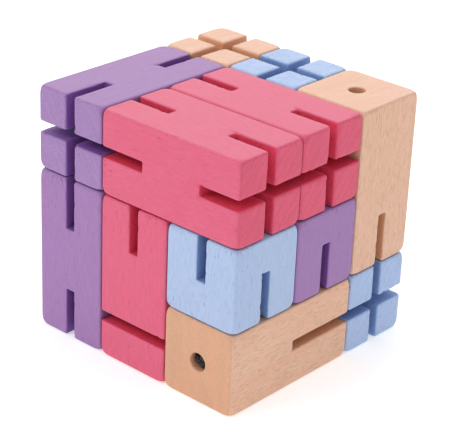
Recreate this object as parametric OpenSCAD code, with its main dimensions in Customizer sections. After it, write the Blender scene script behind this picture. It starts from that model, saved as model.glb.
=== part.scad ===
// Elastic snake puzzle: fifteen slotted wooden blocks on one elastic cord, folded into a 3 x 3 x 3 cube.
// Cells are counted [x, y, z] from 0 to 2: x along the front, y towards the back, z upwards.
// The origin is under the middle of the cube, on the surface that it stands on.

/* [Blocks] */
// Side of one cell of the cube, the spacing of the blocks
unit = 22; // [18:0.5:30]
// Clearance between neighbouring blocks
block_gap = 0.16; // [0.1:0.02:0.3]
// Rounding of the outer edges of each block
edge_r = 0.8; // [0.4:0.1:2]

/* [Saw slots] */
// Width of the saw slots that the elastic swings in
slot_w = 2.8; // [2.4:0.1:3.2]
// How far each saw slot runs past the centre of its cell
slot_past = 1.6; // [1.1:0.1:2.5]
// How far the one long slot, on the side of the second end block, runs past the centre of its cell
long_slot_past = 10.5; // [8:0.5:12]

/* [Elastic] */
// Diameter of the elastic cord
cord_d = 2; // [1.5:0.1:2.2]
// Diameter of the hole along each long block
bore_d = 3.2; // [2.6:0.1:3.4]
// Diameter of the hole that hides the knot of the first block
first_knot_hole_d = 4.2; // [4.2:0.1:5.4]
// Diameter of the hole that hides the knot of the last block
last_knot_hole_d = 4.8; // [4.2:0.1:5.4]
// Depth of the hole that hides each end knot
knot_hole_depth = 5.8; // [5:0.1:9]
// Diameter of each end knot
knot_d = 3.9; // [3.6:0.1:4.1]

/* [Hidden] */
$fn = 48;

NATURAL = [0.87, 0.68, 0.52];
PINK = [0.91, 0.40, 0.52];
BLUE = [0.62, 0.74, 0.93];
PURPLE = [0.62, 0.44, 0.70];
BLACK = [0.07, 0.07, 0.08];

RIGHT = [1, 0, 0];
LEFT = [-1, 0, 0];
BACK = [0, 1, 0];
FRONT = [0, -1, 0];
UP = [0, 0, 1];
DOWN = [0, 0, -1];

overcut = 1; // how far a cut runs out past a block's face
least_turn = 0.001; // the elastic has a bend only where it turns by more than this
knot_wrap_d = min(cord_d - 0.1, knot_d / 2); // thickness of one wrap of a knot
knot_wraps_h = 2 * knot_wrap_d;
knot_tail = 0.8; // how far the cut end of the elastic stands out past the wraps

// Each block's cells in the order in which the elastic runs through them
CELLS = [
    [[2, 2, 2], [2, 2, 1]], // 1
    [[2, 2, 0], [1, 2, 0]], // 2
    [[1, 2, 1], [1, 2, 2]], // 3
    [[1, 1, 2], [2, 1, 2]], // 4
    [[2, 0, 2], [1, 0, 2]], // 5
    [[0, 0, 2], [0, 1, 2]], // 6
    [[0, 2, 2], [0, 2, 1]], // 7
    [[0, 2, 0]],            // 8
    [[0, 1, 0], [1, 1, 0]], // 9
    [[1, 1, 1], [0, 1, 1]], // 10
    [[0, 0, 1], [0, 0, 0]], // 11
    [[1, 0, 0], [1, 0, 1]], // 12
    [[2, 0, 1]],            // 13
    [[2, 1, 1]],            // 14
    [[2, 1, 0], [2, 0, 0]]  // 15
];
last = len(CELLS) - 1;

function cell_centre(c) = [(c.x - 1) * unit, (c.y - 1) * unit, (c.z + 0.5) * unit - block_gap / 2];
function first_cell(i) = CELLS[i][0];
function last_cell(i) = CELLS[i][len(CELLS[i]) - 1];
function size_of(v) = [for (x = v) abs(x)];

// Where the elastic crosses from block i to block i + 1: the middle of the face that they share
function crossing(i) = (cell_centre(last_cell(i)) + cell_centre(first_cell(i + 1))) / 2;

// Where a knot sits: the bottom of its hole in the outer end of an end block
function knot_seat(c, out) = cell_centre(c) + out * (unit / 2 - block_gap / 2 - knot_hole_depth);

// The elastic's route through block i: in at one face, through the centres of its cells, out at another
function route(i) = concat(
    [i == 0 ? knot_seat(first_cell(0), UP) : crossing(i - 1)],
    [for (c = CELLS[i]) cell_centre(c)],
    [i == last ? knot_seat(last_cell(last), FRONT) : crossing(i)]
);

// Turns a shape that points up so that it points along a cube axis
module point_along(direction) {
    if (direction.x != 0) rotate([0, direction.x > 0 ? 90 : -90, 0]) children();
    else if (direction.y != 0) rotate([direction.y > 0 ? -90 : 90, 0, 0]) children();
    else rotate([direction.z > 0 ? 0 : 180, 0, 0]) children();
}

// A round rod between two points on a line along a cube axis
module rod(a, b, d) {
    run = b - a;
    translate((a + b) / 2)
        point_along(run / norm(run))
            cylinder(h = norm(run), d = d, center = true);
}

module rounded_rectangle(w, h) {
    square([w - 2 * edge_r, h], center = true);
    square([w, h - 2 * edge_r], center = true);
    for (x = [-1, 1], y = [-1, 1])
        translate([x * (w / 2 - edge_r), y * (h / 2 - edge_r)])
            circle(r = edge_r);
}

// A box with every edge rounded, as the overlap of three rounded bars
module rounded_box(size) {
    intersection() {
        linear_extrude(height = size.z, center = true)
            rounded_rectangle(size.x, size.y);
        rotate([90, 0, 0])
            linear_extrude(height = size.y, center = true)
                rounded_rectangle(size.x, size.z);
        rotate([90, 0, 90])
            linear_extrude(height = size.x, center = true)
                rounded_rectangle(size.y, size.z);
    }
}

// The uncut wood of block i
module blank(i) {
    span = size_of(last_cell(i) - first_cell(i)) + [1, 1, 1];
    translate((cell_centre(first_cell(i)) + cell_centre(last_cell(i))) / 2)
        rounded_box(span * unit - block_gap * [1, 1, 1]);
}

// One saw slot in a cell: open on the side `out` points to, its two walls facing along `normal`
module saw_slot(cell, out, normal, past = slot_past) {
    reach = unit / 2 + overcut;
    along = cross(out, normal);
    translate(cell_centre(cell) + out * (reach - past) / 2)
        cube(size_of(out) * (reach + past) + size_of(normal) * slot_w
             + size_of(along) * 2 * reach, center = true);
}

// Two crossing saw slots, which leave four square posts on the end of a block
module cross_slots(cell, out) {
    for (normal = [RIGHT, BACK, UP])
        if (abs(normal * out) < 0.5)
            saw_slot(cell, out, normal);
}

// The hole along a long block, right through it
module long_bore(i) {
    run = last_cell(i) - first_cell(i);
    rod(cell_centre(first_cell(i)) - run * (unit / 2 + overcut),
        cell_centre(last_cell(i)) + run * (unit / 2 + overcut), bore_d);
}

// The wider hole for a knot, in the outer end of an end block
module knot_hole(cell, out, d) {
    rod(knot_seat(cell, out), cell_centre(cell) + out * (unit / 2 + overcut), d);
}

// A long block with crossed slots at both ends
module crossed_block(i) {
    run = last_cell(i) - first_cell(i);
    difference() {
        blank(i);
        cross_slots(first_cell(i), -run);
        cross_slots(last_cell(i), run);
        long_bore(i);
    }
}

// A block one cell long: one slot in each end, a quarter turn apart, that meet at its centre
module short_block(i, out, normal) {
    cell = first_cell(i);
    difference() {
        blank(i);
        saw_slot(cell, out, normal);
        saw_slot(cell, -out, cross(out, normal));
    }
}

// An end block: crossed slots at its inner end, and a knot's hole in its outer end
module end_block(i, inner, outer, out, hole_d) {
    difference() {
        blank(i);
        cross_slots(inner, -out);
        long_bore(i);
        knot_hole(outer, out, hole_d);
    }
}

module block_01_natural_end() {
    color(NATURAL) end_block(0, last_cell(0), first_cell(0), UP, first_knot_hole_d);
}

module block_02_blue() { color(BLUE) crossed_block(1); }
module block_03_blue() { color(BLUE) crossed_block(2); }
module block_04_pink() { color(PINK) crossed_block(3); }
module block_05_pink() { color(PINK) crossed_block(4); }
module block_06_purple() { color(PURPLE) crossed_block(5); }
module block_07_natural() { color(NATURAL) crossed_block(6); }
module block_08_purple_short() { color(PURPLE) short_block(7, RIGHT, UP); }
module block_09_natural() { color(NATURAL) crossed_block(8); }
module block_10_pink() { color(PINK) crossed_block(9); }
module block_11_purple() { color(PURPLE) crossed_block(10); }

// Crossed slots in its top, and in its lower cell one level slot across the front
module block_12_pink_side_slot() {
    lower = first_cell(11);
    upper = last_cell(11);
    color(PINK) difference() {
        blank(11);
        cross_slots(upper, UP);
        saw_slot(lower, FRONT, UP);
        rod(cell_centre(lower), cell_centre(upper) + UP * (unit / 2 + overcut), bore_d);
    }
}

module block_13_blue_short() { color(BLUE) short_block(12, UP, RIGHT); }
module block_14_purple_short() { color(PURPLE) short_block(13, UP, RIGHT); }

// Its level slot is sawn much deeper than the rest
module block_15_natural_end() {
    color(NATURAL) difference() {
        end_block(14, first_cell(14), last_cell(14), FRONT, last_knot_hole_d);
        saw_slot(first_cell(14), BACK, UP, long_slot_past);
    }
}

// The length of the elastic that lies in block i, with a round bend at each turn
module elastic(i) {
    points = route(i);
    color(BLACK) union() {
        for (k = [0 : len(points) - 2])
            rod(points[k], points[k + 1], cord_d);
        for (k = [1 : len(points) - 2])
            if (norm(cross(points[k] - points[k - 1], points[k + 1] - points[k])) > least_turn)
                translate(points[k]) sphere(d = cord_d);
    }
}

// An end knot: two wraps of the cord round its own end, seated on the bottom of the hole
module knot(cell, out) {
    wrap_r = (knot_d - knot_wrap_d) / 2;
    color(BLACK)
        translate(knot_seat(cell, out))
            point_along(out) {
                cylinder(h = knot_wraps_h, r = wrap_r);
                cylinder(h = knot_wraps_h + knot_tail, d = cord_d);
                for (level = [0.5, 1.4]) // the upper wrap is pressed a little into the lower
                    translate([0, 0, level * knot_wrap_d])
                        rotate_extrude()
                            translate([wrap_r, 0])
                                circle(d = knot_wrap_d);
            }
}

module knot_01() { knot(first_cell(0), UP); }
module knot_15() { knot(last_cell(last), FRONT); }

block_01_natural_end();
block_02_blue();
block_03_blue();
block_04_pink();
block_05_pink();
block_06_purple();
block_07_natural();
block_08_purple_short();
block_09_natural();
block_10_pink();
block_11_purple();
block_12_pink_side_slot();
block_13_blue_short();
block_14_purple_short();
block_15_natural_end();
elastic(0);  // elastic_01
elastic(1);  // elastic_02
elastic(2);  // elastic_03
elastic(3);  // elastic_04
elastic(4);  // elastic_05
elastic(5);  // elastic_06
elastic(6);  // elastic_07
elastic(7);  // elastic_08
elastic(8);  // elastic_09
elastic(9);  // elastic_10
elastic(10);  // elastic_11
elastic(11);  // elastic_12
elastic(12);  // elastic_13
elastic(13);  // elastic_14
elastic(14);  // elastic_15
knot_01();
knot_15();
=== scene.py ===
"""The looks of the elastic snake puzzle: fifteen wooden blocks, one black elastic, and a studio.

The blocks are cut as distance fields, so that every edge that a saw or a drill leaves is softened
and a little ragged. Lengths are in metres, in the CAD part's frame: X along the front, Y towards
the back, Z upwards. Blocks are numbered from 0 along the elastic, and cells of the cube (x, y, z)
from 0 to 2.
"""

import math
from types import SimpleNamespace

import bpy
import numpy as np
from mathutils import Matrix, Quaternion, Vector


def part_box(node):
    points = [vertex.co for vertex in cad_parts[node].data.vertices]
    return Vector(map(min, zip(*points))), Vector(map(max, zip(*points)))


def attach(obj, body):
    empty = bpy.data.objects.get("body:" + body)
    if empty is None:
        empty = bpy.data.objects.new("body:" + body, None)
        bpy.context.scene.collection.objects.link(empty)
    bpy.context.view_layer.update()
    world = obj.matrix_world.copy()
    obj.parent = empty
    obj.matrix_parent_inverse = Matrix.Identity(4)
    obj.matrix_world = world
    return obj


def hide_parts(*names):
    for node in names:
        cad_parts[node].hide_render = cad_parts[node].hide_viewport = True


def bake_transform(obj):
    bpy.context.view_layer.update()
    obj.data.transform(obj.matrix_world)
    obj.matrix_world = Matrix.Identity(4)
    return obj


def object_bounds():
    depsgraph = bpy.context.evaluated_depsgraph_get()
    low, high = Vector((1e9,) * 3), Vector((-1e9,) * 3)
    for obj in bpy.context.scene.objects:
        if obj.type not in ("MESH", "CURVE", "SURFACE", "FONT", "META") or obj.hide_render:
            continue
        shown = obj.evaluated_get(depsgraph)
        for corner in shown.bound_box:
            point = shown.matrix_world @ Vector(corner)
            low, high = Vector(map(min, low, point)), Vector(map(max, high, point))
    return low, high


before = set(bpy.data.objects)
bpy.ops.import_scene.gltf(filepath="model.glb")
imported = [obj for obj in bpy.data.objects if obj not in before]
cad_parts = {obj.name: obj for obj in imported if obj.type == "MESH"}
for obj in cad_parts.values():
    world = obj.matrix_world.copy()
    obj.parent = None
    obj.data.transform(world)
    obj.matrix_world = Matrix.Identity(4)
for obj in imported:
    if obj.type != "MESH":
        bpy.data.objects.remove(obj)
cad_low, cad_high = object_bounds()

MM = 0.001
BLOCK_GAP = 0.16 * MM
UNIT = (cad_high.x - cad_low.x + BLOCK_GAP) / 3
EDGE_R = 0.55 * MM
SEAM = 0.1 * MM  # how far each face stands back from the drawn one, so that the seams show dark
SLOT_W = 2.8 * MM
SLOT_PAST = 1.6 * MM  # how far a slot runs past the centre of its cell
LONG_SLOT_PAST = 10.5 * MM
CORD_R = 1.0 * MM
BORE_R = 1.6 * MM
KNOT_HOLE_DEPTH = 5.8 * MM

# Wear
CORNER_CUT = 0.7 * MM  # how far in from its sharp place the corner of a block has been worn back
CORNER_REACH = 0.9 * MM  # how far the softening of that corner reaches
LIP = 0.22 * MM  # how far the softening of a sawn edge reaches on a side face
END_LIP = 0.7 * MM  # the same on the end of a block, which tumbling wears more
END_BAND = 1.2 * MM  # how far from an end that extra wear fades out
WEAR_PATCH = 2.5 * MM  # size of the patches that are worn more or less than the rest
CHIP = 0.8 * MM  # how far the softening reaches where a splinter has broken away
CHIP_SIZE = 0.6 * MM
CHIP_FROM, CHIP_FULL = 0.7, 0.9  # the noise values at which a chip starts and is complete
TEAR_SIZE = 1.7 * MM, 0.45 * MM  # a torn splinter along its slot, and across and into the wood
TEAR_LIP = 0.1 * MM

# Sampling grid
FINE = 0.26 * MM  # spacing at edges
COARSE = 1.05 * MM  # across slotted wood, where chips need it
PLAIN = 2.5 * MM  # along the solid middle of a long block
FINE_BAND = 0.5 * MM  # how far from an edge the spacing starts to grow
GROWTH = 0.4  # and by how much of the distance from there

RIGHT, BACK, UP = np.eye(3)
LEFT, FRONT = -RIGHT, -BACK

# Colours are linear. Each wood is its side face, end grain, pores, and the inside of its slots; that
# last is also the deeper tone of rings, streaks and chips, and on slot walls it is partly painted
# shade.
WOODS = {
    "natural": {
        "slot": "natural_wood",
        "face": (0.82, 0.505, 0.352),
        "end": (0.82, 0.50, 0.36),
        "pore": (0.52, 0.26, 0.15),
        "inside": (0.80, 0.41, 0.23),
    },
    "pink": {
        "slot": "pink_wood",
        "face": (0.735, 0.105, 0.202),
        "end": (0.735, 0.076, 0.158),
        "pore": (0.38, 0.02, 0.05),
        "inside": (0.82, 0.06, 0.13),
    },
    "blue": {
        "slot": "blue_wood",
        "face": (0.42, 0.535, 0.77),
        "end": (0.41, 0.535, 0.80),
        "pore": (0.13, 0.19, 0.38),
        "inside": (0.235, 0.375, 0.70),
    },
    "purple": {
        "slot": "purple_wood",
        "face": (0.35, 0.175, 0.425),
        "end": (0.35, 0.20, 0.45),
        "pore": (0.13, 0.05, 0.20),
        "inside": (0.24, 0.09, 0.39),
    },
}
LAST_END_TONE_AND_SHADE = (0.685, 0.372, 0.226)  # the last block's end grain, a warmer wood than the rest and darker by painted shade, since this end faces the front and the first block's end faces up

# Each block's node, its colour, and its cells in the order in which the elastic runs through them
CHAIN = [
    ("block_01_natural_end", "natural", [(2, 2, 2), (2, 2, 1)]),
    ("block_02_blue", "blue", [(2, 2, 0), (1, 2, 0)]),
    ("block_03_blue", "blue", [(1, 2, 1), (1, 2, 2)]),
    ("block_04_pink", "pink", [(1, 1, 2), (2, 1, 2)]),
    ("block_05_pink", "pink", [(2, 0, 2), (1, 0, 2)]),
    ("block_06_purple", "purple", [(0, 0, 2), (0, 1, 2)]),
    ("block_07_natural", "natural", [(0, 2, 2), (0, 2, 1)]),
    ("block_08_purple_short", "purple", [(0, 2, 0)]),
    ("block_09_natural", "natural", [(0, 1, 0), (1, 1, 0)]),
    ("block_10_pink", "pink", [(1, 1, 1), (0, 1, 1)]),
    ("block_11_purple", "purple", [(0, 0, 1), (0, 0, 0)]),
    ("block_12_pink_side_slot", "pink", [(1, 0, 0), (1, 0, 1)]),
    ("block_13_blue_short", "blue", [(2, 0, 1)]),
    ("block_14_purple_short", "purple", [(2, 1, 1)]),
    ("block_15_natural_end", "natural", [(2, 1, 0), (2, 0, 0)]),
]
FIRST, LAST = 0, len(CHAIN) - 1
SIDE_SLOTTED = 11
# The blocks one cell long: the way the grain runs, and the first slot's open side and its walls' way
SHORT = {7: (BACK, RIGHT, UP), 12: (UP, UP, RIGHT), 13: (UP, UP, RIGHT)}
KNOT_HOLE_R = {FIRST: 2.1 * MM, LAST: 2.4 * MM}

# Slots sawn deeper or shallower than the rest, in mm: (block, cell, the axis that its walls face)
SAWN_DEEPER = {
    (0, (2, 2, 1), 1): 1.3,
    (4, (2, 0, 2), 2): -0.3,
    (4, (1, 0, 2), 2): 0.9,
    (5, (0, 0, 2), 0): 0.7,
    (10, (0, 0, 1), 0): 1.1,
    (10, (0, 0, 0), 0): 0.8,
    (12, (2, 0, 1), 0): -1.0,
    (12, (2, 0, 1), 1): 0.5,
    (13, (2, 1, 1), 1): 0.4,
}
# Splinters torn out at a slot's bottom: (block, cell, its walls' axis, the face, the side of the slot)
TEARS = [
    (3, (2, 1, 2), 1, UP, 1),
    (4, (2, 0, 2), 1, UP, 1),
    (4, (2, 0, 2), 2, FRONT, 1),
    (4, (2, 0, 2), 2, FRONT, -1),
    (5, (0, 1, 2), 0, UP, -1),
]


def body_name(i):
    return f"block_{i + 1:02d}"


def centre(cell):
    x, y, z = cell
    return np.array([(x - 1) * UNIT, (y - 1) * UNIT, (z + 0.5) * UNIT - BLOCK_GAP / 2])


def first_cell(i):
    return CHAIN[i][2][0]


def last_cell(i):
    return CHAIN[i][2][-1]


def run_of(i):
    """The unit vector along a long block, in the direction that the elastic takes."""
    return np.array(last_cell(i), float) - np.array(first_cell(i), float)


def grain_of(i):
    return SHORT[i][0] if i in SHORT else np.abs(run_of(i))


def box_of(i):
    """The low and high corners of a block in the CAD."""
    return (np.array(corner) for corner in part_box(CHAIN[i][0]))


def new_object(name, points, faces, attributes=None):
    mesh = bpy.data.meshes.new(name)
    mesh.from_pydata([tuple(p) for p in points], [], [tuple(f) for f in faces])
    mesh.shade_smooth()
    for label, values in (attributes or {}).items():
        layer = mesh.attributes.new(label, "FLOAT", "POINT")
        layer.data.foreach_set("value", values.astype(np.float32))
    made = bpy.data.objects.new(name, mesh)
    bpy.context.scene.collection.objects.link(made)
    return made


# --- Slots and holes ----------------------------------------------------------------------------


def crossed(cell, out):
    """The two saw slots that cross in one end of a block."""
    return [(cell, out, normal) for normal in (RIGHT, BACK, UP) if abs(normal @ out) < 0.5]


def slots_of(i):
    """Each saw slot of a block: (its cell, the side it opens on, the way its walls face)."""
    run = run_of(i)
    if i == FIRST:
        return crossed(last_cell(i), run)
    if i == LAST:
        return crossed(first_cell(i), -run)
    if i == SIDE_SLOTTED:
        return [*crossed(last_cell(i), run), (first_cell(i), FRONT, UP)]
    if i in SHORT:
        _, out, normal = SHORT[i]
        turned = np.abs(np.cross(out, normal))
        return [(first_cell(i), out, normal), (first_cell(i), -out, turned)]
    return [*crossed(first_cell(i), -run), *crossed(last_cell(i), run)]


def axis_of(normal):
    return int(np.argmax(normal))


def sawn_past(i, cell, normal):
    """How far one slot of block i runs past the centre of its cell."""
    if i == LAST and normal @ UP:
        return LONG_SLOT_PAST
    return SLOT_PAST + SAWN_DEEPER.get((i, cell, axis_of(normal)), 0) * MM


def knot_of(i):
    """The bottom of the knot's hole in an end block, and the way out of it."""
    cell, out = (first_cell(i), UP) if i == FIRST else (last_cell(i), FRONT)
    return centre(cell) + out * (UNIT / 2 - BLOCK_GAP / 2 - KNOT_HOLE_DEPTH), out


def holes_of(i):
    """Each drilled hole: (a point on its axis, its way, its radius, how far behind it starts)."""
    if i in SHORT:
        return []
    behind = 0 if i == SIDE_SLOTTED else UNIT  # that block's bore starts in its side slot
    holes = [(centre(first_cell(i)), run_of(i), BORE_R, behind)]
    if i in KNOT_HOLE_R:
        holes.append((*knot_of(i), KNOT_HOLE_R[i], 0))
    return holes


# --- Wood as a distance field -------------------------------------------------------------------

NOISE_SIDE = 64
NOISE_TABLE = np.random.default_rng(15).random((NOISE_SIDE,) * 3)
NOISE_SHIFT = 7.3  # how far apart two blocks' places in the noise are


def value_noise(x, y, z, size, shift=0):
    """Smooth noise from 0 to 1 whose lumps are about size across."""
    whole, part = [], []
    for k, values in enumerate((x, y, z)):
        scaled = np.asarray(values) / size + shift * (NOISE_SHIFT + k)
        whole.append(np.floor(scaled).astype(int))
        rest = scaled - whole[-1]
        part.append(rest * rest * (3 - 2 * rest))
    total = 0
    for steps in np.ndindex(2, 2, 2):
        share = 1
        for step, fraction in zip(steps, part):
            share = share * (fraction if step else 1 - fraction)
        corner = tuple((w + step) % NOISE_SIDE for w, step in zip(whole, steps))
        total = total + NOISE_TABLE[corner] * share
    return total


def smooth_max(a, b, reach):
    overlap = np.maximum(reach - np.abs(a - b), 0)
    return np.maximum(a, b) + overlap * overlap / (4 * reach)


def along(direction, point, x, y, z):
    """How far each place lies beyond a point, along a direction."""
    return sum(d * (v - p) for d, v, p in zip(direction, (x, y, z), point) if d)


def outer_skin(i, x, y, z):
    """The distance out of the uncut block, with its edges rounded and its corners worn."""
    low, high = box_of(i)
    middle, half = (low + high) / 2, (high - low) / 2 - SEAM
    beyond = [np.abs(v - m) - (h - EDGE_R) for v, m, h in zip((x, y, z), middle, half)]
    outside = np.sqrt(sum(np.maximum(b, 0) ** 2 for b in beyond))
    inside = np.minimum(np.maximum(np.maximum(beyond[0], beyond[1]), beyond[2]), 0)
    to_corner = sum(np.abs(v - m) - h for v, m, h in zip((x, y, z), middle, half)) / math.sqrt(3)
    return smooth_max(outside + inside - EDGE_R, to_corner + CORNER_CUT, CORNER_REACH)


def softness(i, x, y, z):
    """How far the softening of a sawn edge reaches: more near the ends, in patches and at chips."""
    low, high = box_of(i)
    middle, half = (low + high) / 2, (high - low) / 2 - SEAM
    to_end = half @ grain_of(i) - np.abs(along(grain_of(i), middle, x, y, z))
    at_end = np.clip(1 - to_end / END_BAND, 0, 1)
    patches = 0.5 + value_noise(x, y, z, WEAR_PATCH, i + 20)
    chips = (value_noise(x, y, z, CHIP_SIZE, i) - CHIP_FROM) / (CHIP_FULL - CHIP_FROM)
    return LIP + (END_LIP - LIP) * at_end * patches + CHIP * np.clip(chips, 0, 1)


def tear_field(i, slot, x, y, z):
    """The distance out of each splinter torn from one slot, as an ellipsoid on the slot's lip."""
    cell, out, normal = slot
    for block, place, axis, face, side in TEARS:
        if (block, place, axis) != (i, cell, axis_of(normal)):
            continue
        bottom = centre(cell) - out * sawn_past(i, cell, normal)
        tip = bottom + normal * side * (SLOT_W / 2) + face * (UNIT / 2)
        long, short = TEAR_SIZE
        sizes = np.abs(out) * long + (1 - np.abs(out)) * short
        spread = sum(((v - t) / r) ** 2 for v, t, r in zip((x, y, z), tip, sizes))
        yield (np.sqrt(spread) - 1) * short


def cut_wood(i, x, y, z):
    """The distance out of block i's wood, negative inside it.

    Also returns how much of that distance the softened edges account for, and how deep each place
    lies below the block's outer skin.
    """
    skin = outer_skin(i, x, y, z)
    reach = softness(i, x, y, z)
    soft, hard = skin, skin
    for cell, out, normal in slots_of(i):
        spot = centre(cell)
        to_wall = np.abs(along(normal, spot, x, y, z)) - SLOT_W / 2
        to_bottom = -along(out, spot, x, y, z) - sawn_past(i, cell, normal)
        slot = np.maximum(to_wall, to_bottom)
        soft, hard = smooth_max(soft, -slot, reach), np.maximum(hard, -slot)
        for tear in tear_field(i, (cell, out, normal), x, y, z):
            soft = smooth_max(soft, -tear, TEAR_LIP)
    for spot, way, radius, behind in holes_of(i):
        aside = sum((v - p) ** 2 for d, v, p in zip(way, (x, y, z), spot) if abs(d) < 0.5)
        hole = np.maximum(np.sqrt(aside) - radius, -along(way, spot, x, y, z) - behind)
        soft, hard = smooth_max(soft, -hole, LIP), np.maximum(hard, -hole)
    return soft, soft - hard, -skin


def grid_lines(i, axis):
    """Where to sample a block along one axis: closely at edges, walls and rims, widely elsewhere."""
    low, high = (corner[axis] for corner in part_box(CHAIN[i][0]))
    close = [(low, low + EDGE_R), (high - EDGE_R, high)]
    slotted = []
    for cell, out, normal in slots_of(i):
        here = centre(cell)[axis]
        if normal[axis]:
            close += [(here + side * SLOT_W / 2,) * 2 for side in (-1, 1)]
        if out[axis]:
            bottom = here - out[axis] * sawn_past(i, cell, normal)
            close.append((bottom, bottom))
            slotted.append(sorted((bottom, here + out[axis] * UNIT / 2)))
        else:
            slotted.append((here - UNIT / 2, here + UNIT / 2))
    for spot, way, radius, _ in holes_of(i):
        if not way[axis] and radius > BORE_R:
            close.append((spot[axis] - radius, spot[axis] + radius))
    lines = [low - 0.4 * FINE]
    while lines[-1] < high + FINE:
        here = lines[-1]
        away = min(max(a - here, here - b, 0) for a, b in close)
        widest = COARSE if any(a <= here <= b for a, b in slotted) else PLAIN
        lines.append(here + float(np.clip(FINE + GROWTH * (away - FINE_BAND), FINE, widest)))
    return np.array(lines)


# --- Surface net --------------------------------------------------------------------------------


def net_points(lines, field):
    """One point in each grid cell that the surface crosses, and each such cell's number."""
    inside = field < 0
    shape = tuple(n - 1 for n in field.shape)
    total, count = np.zeros((*shape, 3)), np.zeros(shape)

    def corner(values, offset):
        return values[tuple(slice(o, o + n) for o, n in zip(offset, shape))]

    def line_of(k, offset):
        spread = [1, 1, 1]
        spread[k] = -1
        return lines[k][offset[k] : offset[k] + shape[k]].reshape(spread)

    for axis in range(3):
        for side in range(4):  # the four edges of a cell along this axis
            start = [0, 0, 0]
            start[(axis + 1) % 3], start[(axis + 2) % 3] = side & 1, side >> 1
            end = list(start)
            end[axis] = 1
            a, b = corner(field, start), corner(field, end)
            crosses = corner(inside, start) != corner(inside, end)
            share = np.where(crosses, a / np.where(crosses, a - b, 1), 0)
            count += crosses
            for k in range(3):
                from_line, to_line = line_of(k, start), line_of(k, end)
                total[..., k] += crosses * (from_line + (to_line - from_line) * share)
    used = count > 0
    number = np.full(shape, -1)
    number[used] = np.arange(used.sum())
    return total[used] / count[used][:, None], number


def net_faces(field, number):
    """A quad round each grid edge that the surface crosses, between the points of four cells."""
    inside = field < 0
    quads = []
    for axis in range(3):
        one, two = (axis + 1) % 3, (axis + 2) % 3
        window = [slice(1, -1)] * 3
        window[axis] = slice(0, -1)
        ahead = list(window)
        ahead[axis] = slice(1, None)
        here, there = inside[tuple(window)], inside[tuple(ahead)]
        for outward in (True, False):
            spots = np.argwhere(here & ~there if outward else ~here & there)
            spots[:, one] += 1
            spots[:, two] += 1
            ring = []
            for back_one, back_two in ((1, 1), (0, 1), (0, 0), (1, 0)):
                cell = spots.copy()
                cell[:, one] -= back_one
                cell[:, two] -= back_two
                ring.append(number[cell[:, 0], cell[:, 1], cell[:, 2]])
            ring = np.stack(ring, axis=1)
            quads.append(ring if outward else ring[:, ::-1])
    return np.concatenate(quads)


# --- Blocks -------------------------------------------------------------------------------------

# How far from its cause each mark fades out
NEAR_END_BAND = 3 * MM
EDGE_BAND = 0.6 * MM
FULL_WEAR = 0.2 * MM
DEPTH_BAND = 3 * MM


def make_block(i):
    """One block, with the marks that its material is coloured by stored at its points."""
    node, colour, _ = CHAIN[i]
    lines = [grid_lines(i, axis) for axis in range(3)]
    field = cut_wood(i, lines[0][:, None, None], lines[1][None, :, None], lines[2][None, None, :])[0]
    points, number = net_points(lines, field)
    _, softened, depth = cut_wood(i, *points.T)
    low, high = box_of(i)
    to_faces = (high - low) / 2 - np.abs(points - (low + high) / 2)
    marks = {
        "near_end": 1 - np.sum(to_faces * grain_of(i), axis=1) / NEAR_END_BAND,
        "edge": 1 - np.sort(to_faces, axis=1)[:, 1] / EDGE_BAND,
        "wear": softened / FULL_WEAR,
        "depth": depth / DEPTH_BAND,
    }
    marks = {label: np.clip(values, 0, 1) for label, values in marks.items()}
    block = new_object(f"wood_{i + 1:02d}_{colour}", points, net_faces(field, number), marks)
    block.data.materials.append(wood_material(i))
    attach(block, body_name(i))
    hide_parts(node)


# --- Elastic ------------------------------------------------------------------------------------

# For each span of elastic between two blocks: the way towards their hinge, if they have one, and
# which of the two has a slot that lets the elastic lean, as (the lower-numbered block, the other)
SPANS = [
    (RIGHT, True, True),
    (None, True, True),
    (UP, True, False),
    (RIGHT, True, True),
    (UP, True, False),
    (None, True, True),
    (LEFT, True, True),
    (LEFT, False, True),
    (None, True, False),
    (LEFT, True, False),
    (FRONT, False, True),
    (FRONT, False, False),
    (None, False, False),
    (RIGHT, True, False),
]
SPAN_POINTS = 45
LEAN = 0.2 * UNIT  # how far a span keeps towards its hinge, in the slot that lets it
BEAD = 0.1 * MM  # half the length of the straight bit at the turn in a short block

CORD_SIDES = 24
RIDGES = 8
RIDGE_HEIGHT = 0.05 * MM
TWIST = 2 * math.pi / (9 * MM)
CAP_ANGLES = [math.radians(a) for a in (80, 60, 35)]  # the rings of a round end, from its tip

KNOT_CORD_R = 0.92 * MM  # the cord is pulled thinner in a knot
KNOT_CLEARANCE = 0.1 * MM
KNOT_POINTS = 90
KNOT_TURN = 2 * math.pi * 0.985  # a trefoil closes on itself; this one has two ends
KNOT_HEIGHT = {FIRST: 3.7 * MM, LAST: 5.0 * MM}


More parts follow.
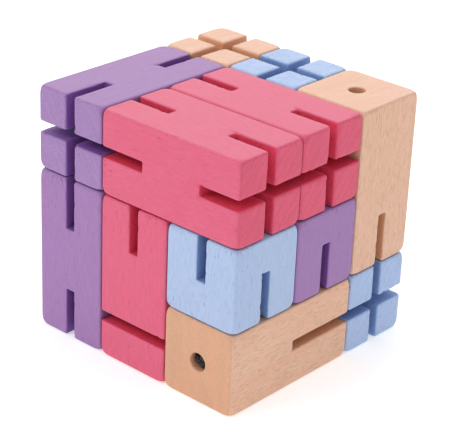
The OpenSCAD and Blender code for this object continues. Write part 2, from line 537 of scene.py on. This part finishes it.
def tube(name, path, radius):
    """A cord along a path, with round ends and the shallow twisted ridges of its woven cover."""
    path = np.asarray(path, float)
    ways = np.gradient(path, axis=0)
    ways /= np.linalg.norm(ways, axis=1)[:, None]
    across = np.cross(ways[0], RIGHT if abs(ways[0][0]) < 0.9 else UP)
    across /= np.linalg.norm(across)
    length = np.concatenate([[0], np.cumsum(np.linalg.norm(np.diff(path, axis=0), axis=1))])
    turn = np.linspace(0, 2 * math.pi, CORD_SIDES, endpoint=False)
    rings = []

    def add_ring(spot, one, two, size, at):
        reach = size * (1 + RIDGE_HEIGHT * np.cos(RIDGES * turn + TWIST * at) / radius)
        rings.append(spot + np.outer(reach * np.cos(turn), one) + np.outer(reach * np.sin(turn), two))

    def add_cap(spot, way, one, two, at, angles):
        for a in angles:
            add_ring(spot + way * radius * math.sin(a), one, two, radius * math.cos(a), at)

    for k, (spot, way) in enumerate(zip(path, ways)):
        across = across - way * (across @ way)
        across /= np.linalg.norm(across)
        two = np.cross(way, across)
        if k == 0:
            add_cap(spot, -way, across, two, length[0], CAP_ANGLES)
        add_ring(spot, across, two, radius, length[k])
        if k == len(path) - 1:
            add_cap(spot, way, across, two, length[-1], reversed(CAP_ANGLES))
    tips = [path[0] - ways[0] * radius, path[-1] + ways[-1] * radius]
    faces = []
    for r in range(len(rings) - 1):
        for s in range(CORD_SIDES):
            a, b = r * CORD_SIDES + s, r * CORD_SIDES + (s + 1) % CORD_SIDES
            faces.append((a, b, b + CORD_SIDES, a + CORD_SIDES))
    top, tip = (len(rings) - 1) * CORD_SIDES, len(rings) * CORD_SIDES
    for s in range(CORD_SIDES):
        faces.append((tip, (s + 1) % CORD_SIDES, s))
        faces.append((tip + 1, top + s, top + (s + 1) % CORD_SIDES))
    cord = new_object(name, [*np.concatenate(rings), *tips], faces)
    cord.data.materials.append(black_elastic)
    return cord


def make_core(i):
    """The elastic along the bore of a long block, or the bead at its turn in a short one."""
    if i in SHORT:
        start, end = (centre(first_cell(i)) + side * BEAD * grain_of(i) for side in (-1, 1))
    else:
        start = knot_of(i)[0] if i == FIRST else centre(first_cell(i))
        end = knot_of(i)[0] if i == LAST else centre(last_cell(i))
    steps = max(2, int(np.linalg.norm(end - start) / MM))
    share = np.linspace(0, 1, steps + 1)[:, None]
    core = tube(f"elastic_core_{i + 1:02d}", start + (end - start) * share, CORD_R)
    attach(core, body_name(i))
    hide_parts(f"elastic_{i + 1:02d}")


def make_span(i):
    """The elastic from block i's last turn to block i + 1's first."""
    hinge_way, this_leans, next_leans = SPANS[i]
    start, end = centre(last_cell(i)), centre(first_cell(i + 1))
    t = np.linspace(0, 1, SPAN_POINTS)
    path = start + np.outer(t, end - start)
    if hinge_way is not None and this_leans and next_leans:
        path += LEAN * np.outer(np.sin(math.pi * t) ** 2, hinge_way)
    elif hinge_way is not None and (this_leans or next_leans):
        leans = t < 0.5 if this_leans else t > 0.5
        path += LEAN * np.outer(leans * np.sin(2 * math.pi * t) ** 2, hinge_way)
    span = tube(f"elastic_span_{i + 1:02d}", path, CORD_R)
    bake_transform(span)


def make_knot(i):
    """A trefoil pulled tight on the bottom of its hole."""
    seat, out = knot_of(i)
    side = np.cross(out, RIGHT)
    t = np.linspace(0, KNOT_TURN, KNOT_POINTS)
    flat = (KNOT_HOLE_R[i] - KNOT_CLEARANCE - KNOT_CORD_R) / 3
    swing = (KNOT_HEIGHT[i] - 2 * KNOT_CORD_R) / 2
    one = flat * (np.sin(t) + 2 * np.sin(2 * t))
    two = flat * (np.cos(t) - 2 * np.cos(2 * t))
    rise = KNOT_HEIGHT[i] / 2 - swing * np.sin(3 * t)
    path = seat + np.outer(one, RIGHT) + np.outer(two, side) + np.outer(rise, out)
    knot = tube(f"knot_{i + 1:02d}_wraps", path, KNOT_CORD_R)
    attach(knot, body_name(i))
    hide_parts(f"knot_{i + 1:02d}")


# --- Shader nodes -------------------------------------------------------------------------------


def add_node(tree, kind, settings=None, inputs=None):
    """A shader node, with its inputs by name or number: each a value or another node's output."""
    made = tree.nodes.new("ShaderNode" + kind)
    for key, value in (settings or {}).items():
        setattr(made, key, value)
    for key, value in (inputs or {}).items():
        if isinstance(value, bpy.types.NodeSocket):
            tree.links.new(value, made.inputs[key])
        else:
            made.inputs[key].default_value = value
    return made


def new_material(name):
    """A material, its node tree and its shader."""
    material = bpy.data.materials.new(name)
    material.use_nodes = True
    tree = material.node_tree
    return material, tree, next(n for n in tree.nodes if n.type == "BSDF_PRINCIPLED")


def calculate(tree, operation, *values):
    return add_node(tree, "Math", {"operation": operation}, dict(enumerate(values))).outputs[0]


def product(tree, first, *others):
    for value in others:
        first = calculate(tree, "MULTIPLY", first, value)
    return first


def weighted(tree, start, *terms):
    """A start plus each value times its weight."""
    for value, weight in terms:
        start = calculate(tree, "ADD", start, product(tree, value, weight))
    return start


def vector_math(tree, operation, a, b):
    return add_node(tree, "VectorMath", {"operation": operation}, {0: a, 1: b})


def mix(tree, share, a, b, blend="MIX"):
    a, b = ((*v, 1) if isinstance(v, tuple) else v for v in (a, b))
    settings = {"data_type": "RGBA", "blend_type": blend}
    return add_node(tree, "Mix", settings, {0: share, 6: a, 7: b}).outputs[2]


def ramp(tree, value, low, high):
    """0 below low and 1 above high, with a smooth rise between them."""
    inputs = {"Value": value, "From Min": low, "From Max": high}
    return add_node(tree, "MapRange", {"interpolation_type": "SMOOTHSTEP"}, inputs).outputs[0]


def noise(tree, places, scale, detail=2.0, roughness=0.5):
    """Noise from 0 to 1. Its scale is lumps per metre, either one number or one for each axis."""
    if not isinstance(scale, (int, float)):
        places, scale = vector_math(tree, "MULTIPLY", places, tuple(scale)).outputs[0], 1
    inputs = {"Vector": places, "Scale": scale, "Detail": detail, "Roughness": roughness}
    return add_node(tree, "TexNoise", inputs=inputs).outputs[0]


def shades(tree, value, colour, spread):
    """A colour that runs from darker to paler, by a share of itself, as a noise value rises."""
    dark = tuple(c * (1 - spread) for c in colour)
    pale = tuple(min(1.0, c * (1 + spread)) for c in colour)
    return mix(tree, ramp(tree, value, 0.25, 0.75), dark, pale)


def stamp(tree, base, colour, *amounts):
    """A colour laid over another by the product of some amounts."""
    return mix(tree, product(tree, *amounts), base, colour)


# --- Wood ---------------------------------------------------------------------------------------

# Lumps per metre of each pattern: (across the grain, along it), or one number for no direction
FIBRES = 2400, 300
RINGS = 330, 12
STREAKS = 1000, 28
SIDE_PORES = 3300, 440
TORN_TICKS = 2600, 900
BLOTCHES = 110
SPECKS = 2600
END_PORES = 2500
SAW_MARKS, SAW_LENGTHS = 1500.0, 160.0  # on an end: across the marks, and along them
RING_BANDS, BAND_LENGTHS = 300.0, 25.0
SAW_SLANT = 38  # degrees between the saw marks on an end and the block's sides
BLOCK_SHIFT = 0.13, 0.29, 0.07  # how far apart two blocks' places in the patterns are

# How strongly each kind of surface shows its patterns; a pore's three are where it starts, where it
# is complete, and how dark it is
BARE = SimpleNamespace(saw=0.04, side_pores=(0.57, 0.68, 0.4), end_pores=(0.62, 0.70, 0.3))
PAINTED = SimpleNamespace(saw=0.08, side_pores=(0.69, 0.76, 0.5), end_pores=(0.62, 0.70, 0.6))


def wood_patterns(tree, i):
    """The patterns and marks of one block's wood, each a value from 0 to 1."""
    grain = grain_of(i)
    across = int(np.argmin(grain))
    where = add_node(tree, "TexCoord")
    shift = tuple(step * i for step in BLOCK_SHIFT)
    places = vector_math(tree, "ADD", where.outputs["Object"], shift).outputs[0]
    facing = vector_math(tree, "DOT_PRODUCT", where.outputs["Normal"], tuple(grain)).outputs["Value"]
    inputs = {"Vector": places, "Axis": tuple(grain), "Angle": math.radians(SAW_SLANT)}
    turned = add_node(tree, "VectorRotate", {"rotation_type": "AXIS_ANGLE"}, inputs).outputs[0]

    def stretched(scales, detail, roughness=0.5):
        scale = [scales[1] if g else scales[0] for g in grain]
        return noise(tree, places, scale, detail, roughness)

    def striped(at, fine, coarse, detail, roughness=0.5):
        scale = [coarse, coarse, coarse]
        scale[across] = fine
        return noise(tree, at, scale, detail, roughness)

    marks = {
        label: add_node(tree, "Attribute", {"attribute_name": label}).outputs["Fac"]
        for label in ("near_end", "edge", "wear", "depth")
    }
    return SimpleNamespace(
        end=ramp(tree, calculate(tree, "ABSOLUTE", facing), 0.6, 0.9),
        fibre=stretched(FIBRES, 4, 0.65),
        rings=stretched(RINGS, 2, 0.4),
        streaks=stretched(STREAKS, 3, 0.6),
        side_pores=stretched(SIDE_PORES, 1),
        ticks=stretched(TORN_TICKS, 1),
        blotch=noise(tree, places, BLOTCHES, 2),
        speck=noise(tree, places, SPECKS, 3, 0.75),
        end_pores=noise(tree, places, END_PORES, 1),
        saw=striped(turned, SAW_MARKS, SAW_LENGTHS, 3),
        bands=striped(places, RING_BANDS, BAND_LENGTHS, 3, 0.6),
        **marks,
    )


def skin_colour(tree, wood, bare, seen):
    """The side faces and the end grain, with their fibres, rings and blotches."""
    side = shades(tree, seen.fibre, wood["face"], 0.07)
    cut_end = shades(tree, seen.saw, wood["end"], (BARE if bare else PAINTED).saw)
    if bare:
        side = stamp(tree, side, wood["inside"], ramp(tree, seen.rings, 0.42, 0.62), 0.2)
        side = stamp(tree, side, wood["inside"], ramp(tree, seen.streaks, 0.4, 0.65), 0.28)
        cut_end = stamp(tree, cut_end, wood["inside"], ramp(tree, seen.bands, 0.4, 0.65), 0.4)
    surface = mix(tree, seen.end, side, cut_end)
    soaked = mix(tree, 0.3, surface, wood["end"])
    return mix(tree, ramp(tree, seen.blotch, 0.4, 0.8), surface, soaked)


def open_pores(tree, bare, seen):
    """Where the pores are, and how dark they are there."""
    look = BARE if bare else PAINTED
    side_from, side_full, side_dark = look.side_pores
    end_from, end_full, end_dark = look.end_pores
    on_side = ramp(tree, seen.side_pores, side_from, side_full)
    on_end = ramp(tree, seen.end_pores, end_from, end_full)
    pores = mix(tree, seen.end, on_side, on_end)
    return pores, mix(tree, seen.end, (side_dark,) * 3, (end_dark,) * 3)


def worn_colour(tree, surface, wood, seen):
    """A surface's colour: edges rubbed pale, with painted highlight; torn ends; sawn slot walls in a
    deeper tone, with painted shade; chips.
    """
    # Edges paler in specks, towards white: partly paint rubbed off, partly a painted highlight along
    # the rounded edges
    rubbed_pale_and_highlit = tuple(0.25 + 0.75 * c for c in wood["face"])
    surface = stamp(tree, surface, rubbed_pale_and_highlit, seen.edge, ramp(tree, seen.speck, 0.45, 0.6), 0.4)
    near, patchy = ramp(tree, seen.near_end, 0.3, 0.7), ramp(tree, seen.blotch, 0.5, 0.62)
    ticks = ramp(tree, seen.ticks, 0.55, 0.64)
    on_side = calculate(tree, "SUBTRACT", 0.6, product(tree, seen.end, 0.6))
    surface = stamp(tree, surface, wood["pore"], near, patchy, ticks, on_side)
    # Slot walls below the outer skin get a deeper, mostly darker copy of the paint: partly the rough
    # sawn wood, partly painted shade of the slot
    slot_wall_tone_and_shade = mix(tree, ramp(tree, seen.speck, 0.3, 0.6), wood["pore"], wood["inside"])
    slot_wall_tone_and_shade = mix(tree, 0.6, slot_wall_tone_and_shade, wood["inside"])
    surface = mix(tree, ramp(tree, seen.depth, 0.04, 0.14), surface, slot_wall_tone_and_shade)
    return stamp(tree, surface, wood["inside"], ramp(tree, seen.wear, 0.4, 1.0), 0.5)


def wood_material(i):
    """Wood with its grain, rings and pores along the block, its end grain, and its sawn slots with
    painted shade on their walls.
    """
    colour = CHAIN[i][1]
    wood, bare = dict(WOODS[colour]), colour == "natural"
    # The last block's front-facing end gets its own darker end colour: partly its wood's tone, partly
    # painted shade
    if i == LAST:
        wood["end"] = LAST_END_TONE_AND_SHADE
    material, tree, shader = new_material(f"{colour}_wood_{i + 1:02d}")
    seen = wood_patterns(tree, i)
    pores, darkness = open_pores(tree, bare, seen)

    surface = stamp(tree, skin_colour(tree, wood, bare, seen), wood["pore"], pores, darkness)
    surface = worn_colour(tree, surface, wood, seen)
    surface = mix(tree, 1.0, surface, shades(tree, seen.speck, (0.95,) * 3, 0.06), "MULTIPLY")
    tree.links.new(surface, shader.inputs["Base Color"])

    height = product(tree, mix(tree, seen.end, seen.fibre, seen.saw), 0.6)
    height = weighted(tree, calculate(tree, "SUBTRACT", height, pores), (seen.speck, 0.8))
    height = product(tree, height, weighted(tree, 1.0, (seen.depth, 3.0)))
    bump = add_node(tree, "Bump", inputs={"Height": height, "Strength": 0.5, "Distance": 0.1 * MM})
    tree.links.new(bump.outputs[0], shader.inputs["Normal"])
    roughness = weighted(tree, 0.42, (seen.speck, 0.2), (seen.depth, 0.3))
    tree.links.new(roughness, shader.inputs["Roughness"])
    shader.inputs["Specular IOR Level"].default_value = 0.5
    return material


def elastic_material():
    """Black elastic with a fine woven cover that catches the light."""
    material, tree, shader = new_material("black_elastic")
    places = add_node(tree, "TexCoord").outputs["Object"]
    weave = noise(tree, places, 5200, 2)
    worn = noise(tree, places, 900, 2)
    black = mix(tree, ramp(tree, weave, 0.35, 0.7), (0.002, 0.002, 0.0025), (0.007, 0.007, 0.008))
    black = mix(tree, ramp(tree, worn, 0.55, 0.8), black, (0.014, 0.014, 0.016))
    tree.links.new(black, shader.inputs["Base Color"])
    bump = add_node(tree, "Bump", inputs={"Height": weave, "Strength": 0.4, "Distance": 0.05 * MM})
    tree.links.new(bump.outputs[0], shader.inputs["Normal"])
    tree.links.new(weighted(tree, 0.2, (weave, 0.2)), shader.inputs["Roughness"])
    shader.inputs["Specular IOR Level"].default_value = 0.4
    return material


# --- Studio -------------------------------------------------------------------------------------

CUBE_MIDDLE = Vector((0, 0, 1.5 * UNIT))
CAMERA_AIM = Vector((0.9 * MM, -0.9 * MM, 30.3 * MM))
CAMERA_AROUND, CAMERA_ABOVE, CAMERA_ROLL = 41.19, 25.27, 2.4  # degrees
CAMERA_AWAY = 0.417
CAMERA_SENSOR, CAMERA_LENS = 36, 132.2  # mm
FLOOR_SIZE = 8.0
FLOOR_GLOW = 0.42  # a table lit through from below
WORLD_LIGHT = 0.55
WHITE = (1, 1, 1)
# Softboxes: (name, place, watts, side, colour)
LIGHTS = [
    ("key", (-0.45, -0.75, 0.85), 4.7, 0.7, WHITE),
    ("fill", (0.9, -0.25, 0.45), 0.62, 0.8, (0.6, 0.7, 1)),
    ("top", (0.1, 0.2, 1.1), 3.2, 0.9, WHITE),
    ("back", (-0.7, 0.78, 0.5), 4.8, 1.0, WHITE),
]


def make_floor():
    half = FLOOR_SIZE / 2
    corners = [(-half, -half, 0), (half, -half, 0), (half, half, 0), (-half, half, 0)]
    floor = new_object("floor", corners, [(0, 1, 2, 3)])
    material, tree, shader = new_material("pale_floor")
    places = add_node(tree, "TexCoord").outputs["Object"]
    paper = mix(tree, noise(tree, places, 6, 2), (0.80, 0.80, 0.80), (0.83, 0.83, 0.83))
    tree.links.new(paper, shader.inputs["Base Color"])
    shader.inputs["Emission Color"].default_value = (*WHITE, 1)
    shader.inputs["Emission Strength"].default_value = FLOOR_GLOW
    shader.inputs["Roughness"].default_value = 0.9
    shader.inputs["Specular IOR Level"].default_value = 0.1
    floor.data.materials.append(material)


def make_light(name, spot, power, size, colour):
    """A square softbox that faces the puzzle."""
    data = bpy.data.lights.new(name, "AREA")
    data.energy, data.size, data.color = power, size, colour
    made = bpy.data.objects.new(name, data)
    made.location = spot
    made.rotation_mode = "QUATERNION"
    made.rotation_quaternion = (CUBE_MIDDLE - Vector(spot)).to_track_quat("-Z", "Y")
    bpy.context.scene.collection.objects.link(made)


def make_camera():
    """A long lens towards the corner of the front and right sides, a little above and tilted."""
    data = bpy.data.cameras.new("camera")
    data.sensor_width, data.lens = CAMERA_SENSOR, CAMERA_LENS
    camera = bpy.data.objects.new("camera", data)
    around, above = math.radians(CAMERA_AROUND), math.radians(CAMERA_ABOVE)
    level = Vector((math.sin(around), -math.cos(around), 0)) * math.cos(above)
    back = level + Vector((0, 0, math.sin(above)))
    camera.location = CAMERA_AIM + back * CAMERA_AWAY
    camera.rotation_mode = "QUATERNION"
    roll = Quaternion((0, 0, 1), math.radians(CAMERA_ROLL))
    camera.rotation_quaternion = (-back).to_track_quat("-Z", "Y") @ roll
    bpy.context.scene.collection.objects.link(camera)
    bpy.context.scene.camera = camera


def make_world():
    world = bpy.data.worlds.new("studio")
    world.use_nodes = True
    back = next(n for n in world.node_tree.nodes if n.type == "BACKGROUND")
    back.inputs["Color"].default_value = (*WHITE, 1)
    back.inputs["Strength"].default_value = WORLD_LIGHT
    bpy.context.scene.world = world
    bpy.context.scene.view_settings.view_transform = "Standard"


black_elastic = elastic_material()
for number in range(len(CHAIN)):
    make_block(number)
    make_core(number)
for number in range(len(SPANS)):
    make_span(number)
for number in KNOT_HOLE_R:
    make_knot(number)

make_floor()
make_world()
make_camera()
for light in LIGHTS:
    make_light(*light)
